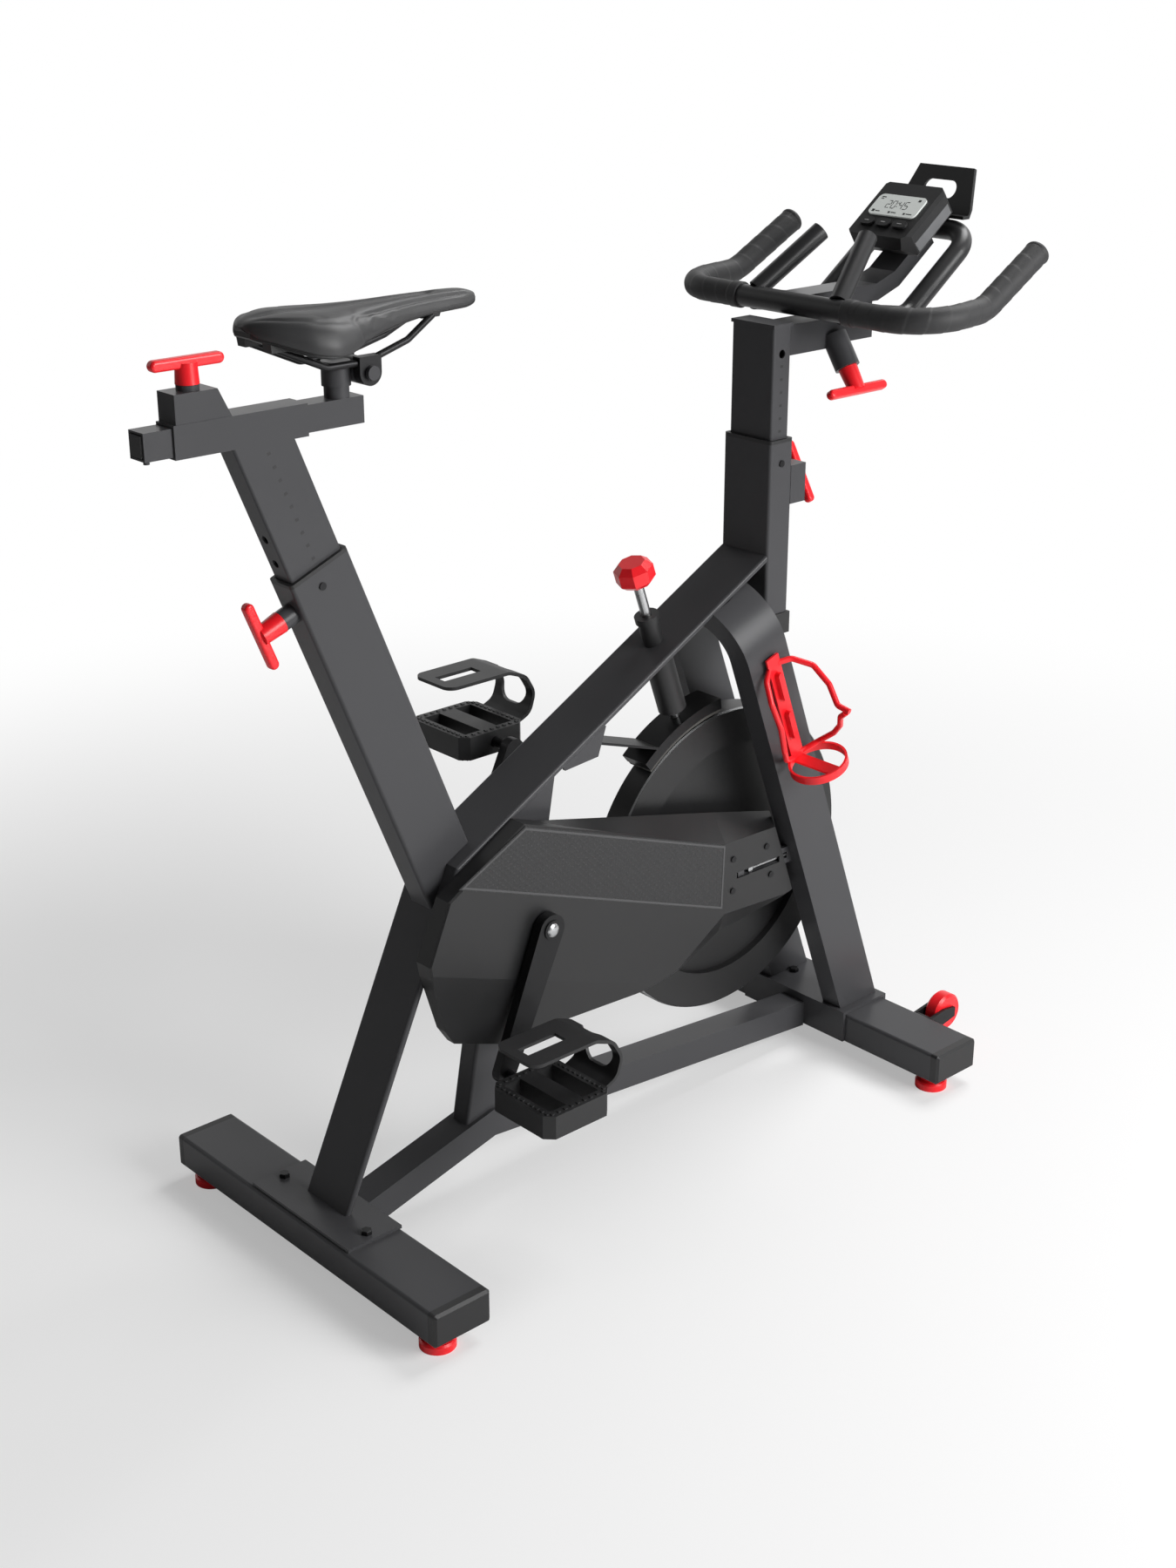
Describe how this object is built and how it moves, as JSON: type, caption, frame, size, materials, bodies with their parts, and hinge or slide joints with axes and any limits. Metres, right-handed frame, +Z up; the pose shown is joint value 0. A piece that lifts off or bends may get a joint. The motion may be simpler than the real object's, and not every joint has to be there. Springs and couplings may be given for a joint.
{
  "type": "exercise bike",
  "caption": "Indoor exercise bike with a belt-driven flywheel, sliding seat and handlebar posts, screw-down brake, console, bottle cage and levelling feet.",
  "frame": {"origin": "on the floor under the middle of the whole bike", "axes": "+X forward, +Y to the rider's left, +Z up"},
  "size_m": [1.144, 0.484, 1.1047],
  "materials": {
    "frame_paint": "satin powder coat",
    "bar_paint": "satin powder coat",
    "black_plastic": "fine grain",
    "guard_plastic": "satin moulded",
    "red_plastic": "smooth",
    "black_metal": "satin black",
    "steel": "bright",
    "flywheel_iron": "painted sides",
    "belt_rubber": "matt",
    "grip_foam": "grained tape",
    "saddle_skin": "synthetic, soft",
    "felt": "felt",
    "display": "display window"
  },
  "bodies": {
    "frame": {"main_beam": "frame_paint", "seat_tube": "frame_paint", "mast_sleeve": "frame_paint", "mast_cap": "black_plastic", "post_bushes": "black_plastic", "small_screws": "black_metal", "rear_stabiliser": "frame_paint", "front_stabiliser": "frame_paint", "stabiliser_end_caps": "black_plastic", "stabiliser_bolts": "black_metal", "bottom_beam": "frame_paint", "bracket_post": "frame_paint", "front_fork": "frame_paint", "flywheel_axle": "steel", "bearings": "steel", "drive_belt": "belt_rubber", "belt_guard_cover": "guard_plastic", "belt_guard_back": "guard_plastic", "brake_guide": "black_plastic", "bottle_cage": "red_plastic", "cage_spacers": "black_plastic", "wheel_forks": "black_metal"},
    "seat_mount": {"seat_post": "frame_paint"},
    "seat_slider": {"saddle_slide": "frame_paint"},
    "saddle": {"saddle_pad": "saddle_skin", "saddle_base": "black_plastic", "saddle_rails": "black_metal", "rail_clamps": "black_metal"},
    "seat_height_pull": {"seat_height_handle": "red_plastic"},
    "seat_slide_clamp": {"seat_slide_handle": "red_plastic"},
    "bar_mount": {"handlebar_post": "frame_paint"},
    "bar_slider": {"handlebar_slide": "frame_paint", "handlebar": "bar_paint", "grips": "grip_foam", "console_arm": "frame_paint", "console_housing": "black_plastic", "console_screen": "display", "phone_holder": "black_plastic"},
    "button_left": {"console_button_left": "black_plastic"},
    "button_middle": {"console_button_middle": "black_plastic"},
    "button_right": {"console_button_right": "black_plastic"},
    "bar_height_pull": {"bar_height_handle": "red_plastic"},
    "bar_slide_clamp": {"bar_slide_handle": "red_plastic"},
    "crank": {"crank_spindle": "steel", "drive_pulley": "black_plastic", "crank_arm_left": "black_metal", "crank_arm_right": "black_metal"},
    "left_pedal": {"pedal_left": "black_plastic"},
    "right_pedal": {"pedal_right": "black_plastic"},
    "flywheel": {"flywheel": "flywheel_iron"},
    "brake_plunger": {"brake_rod": "steel"},
    "knob": {"resistance_knob": "red_plastic"},
    "brake_arm": {"brake_shoe": "black_metal", "brake_pad": "felt"},
    "left_wheel": {"transport_wheel_left": "red_plastic"},
    "right_wheel": {"transport_wheel_right": "red_plastic"},
    "foot_rear_left": {"levelling_foot_rear_left": "red_plastic"},
    "foot_rear_right": {"levelling_foot_rear_right": "red_plastic"},
    "foot_front_left": {"levelling_foot_front_left": "red_plastic"},
    "foot_front_right": {"levelling_foot_front_right": "red_plastic"}
  },
  "joints": [
    {"name": "seat_height", "type": "slide", "parent": "frame", "child": "seat_mount", "axis": [-0.3746, 0, 0.9272], "range_m": [-0.115, 0.085]},
    {"name": "seat_fore_aft", "type": "slide", "parent": "seat_mount", "child": "seat_slider", "axis": [1, 0, 0], "range_m": [-0.01, 0.018]},
    {"name": "saddle_tilt", "type": "hinge", "parent": "seat_slider", "child": "saddle", "pos_m": [-0.325, 0, 0.979], "axis": [0, 1, 0], "range_deg": [-6, 6]},
    {"name": "seat_height_pull", "type": "slide", "parent": "frame", "child": "seat_height_pull", "axis": [-0.9272, 0, -0.3746], "range_m": [0, 0.012], "stiffness_N_per_m": 800, "springref_m": -0.004},
    {"name": "seat_slide_clamp", "type": "hinge", "parent": "seat_mount", "child": "seat_slide_clamp", "pos_m": [-0.514, 0, 1], "axis": [0, 0, 1], "range_deg": [-90, 90]},
    {"name": "bar_height", "type": "slide", "parent": "frame", "child": "bar_mount", "axis": [0, 0, 1], "range_m": [-0.085, 0.05]},
    {"name": "bar_fore_aft", "type": "slide", "parent": "bar_mount", "child": "bar_slider", "axis": [1, 0, 0], "range_m": [-0.004, 0.04]},
    {"name": "bar_height_pull", "type": "slide", "parent": "frame", "child": "bar_height_pull", "axis": [1, 0, 0], "range_m": [0, 0.012], "stiffness_N_per_m": 800, "springref_m": -0.004},
    {"name": "bar_slide_clamp", "type": "hinge", "parent": "bar_mount", "child": "bar_slide_clamp", "pos_m": [0.354, -0.02, 0.9285], "axis": [0, -0.5592, -0.829], "range_deg": [-90, 90]},
    {"name": "button_left_press", "type": "slide", "parent": "bar_slider", "child": "button_left", "axis": [0.5948, 0, -0.8039], "range_m": [0, 0.001], "stiffness_N_per_m": 1000, "springref_m": -0.0005},
    {"name": "button_middle_press", "type": "slide", "parent": "bar_slider", "child": "button_middle", "axis": [0.5948, 0, -0.8039], "range_m": [0, 0.001], "stiffness_N_per_m": 1000, "springref_m": -0.0005},
    {"name": "button_right_press", "type": "slide", "parent": "bar_slider", "child": "button_right", "axis": [0.5948, 0, -0.8039], "range_m": [0, 0.001], "stiffness_N_per_m": 1000, "springref_m": -0.0005},
    {"name": "flywheel_spin", "type": "hinge", "parent": "frame", "child": "flywheel", "pos_m": [0.197, 0, 0.306], "axis": [0, 1, 0], "continuous": true},
    {"name": "crank_spin", "type": "hinge", "parent": "frame", "child": "crank", "pos_m": [-0.14, 0, 0.3395], "axis": [0, 1, 0], "continuous": true},
    {"name": "left_pedal_spin", "type": "hinge", "parent": "crank", "child": "left_pedal", "pos_m": [-0.07194, 0.15, 0.49637], "axis": [0, 1, 0], "continuous": true},
    {"name": "right_pedal_spin", "type": "hinge", "parent": "crank", "child": "right_pedal", "pos_m": [-0.20806, -0.15, 0.18263], "axis": [0, 1, 0], "continuous": true},
    {"name": "brake_push", "type": "slide", "parent": "frame", "child": "brake_plunger", "axis": [0.3355, 0, -0.9421], "range_m": [0, 0.002], "stiffness_N_per_m": 4000, "springref_m": -0.003},
    {"name": "resistance_turn", "type": "hinge", "parent": "brake_plunger", "child": "knob", "pos_m": [0.053, 0, 0.698], "axis": [-0.3355, 0, 0.9421], "range_deg": [-720, 720]},
    {"name": "brake_arm_swing", "type": "hinge", "parent": "frame", "child": "brake_arm", "pos_m": [-0.037, 0, 0.515], "axis": [0, 1, 0], "range_deg": [0, 0.8]},
    {"name": "left_wheel_spin", "type": "hinge", "parent": "frame", "child": "left_wheel", "pos_m": [0.47, 0.154, 0.052], "axis": [0, 1, 0], "continuous": true},
    {"name": "right_wheel_spin", "type": "hinge", "parent": "frame", "child": "right_wheel", "pos_m": [0.47, -0.154, 0.052], "axis": [0, 1, 0], "continuous": true},
    {"name": "foot_rear_left_turn", "type": "hinge", "parent": "frame", "child": "foot_rear_left", "pos_m": [-0.423, 0.213, 0], "axis": [0, 0, 1], "range_deg": [-720, 720]},
    {"name": "foot_rear_right_turn", "type": "hinge", "parent": "frame", "child": "foot_rear_right", "pos_m": [-0.423, -0.213, 0], "axis": [0, 0, 1], "range_deg": [-720, 720]},
    {"name": "foot_front_left_turn", "type": "hinge", "parent": "frame", "child": "foot_front_left", "pos_m": [0.38, 0.213, 0], "axis": [0, 0, 1], "range_deg": [-720, 720]},
    {"name": "foot_front_right_turn", "type": "hinge", "parent": "frame", "child": "foot_front_right", "pos_m": [0.38, -0.213, 0], "axis": [0, 0, 1], "range_deg": [-720, 720]}
  ],
  "couplings": [
    {"joint": "crank_spin", "follows": "flywheel_spin", "ratio": 0.28571},
    {"joint": "brake_arm_swing", "follows": "brake_push", "rad_per_m": 6.6667}
  ]
}
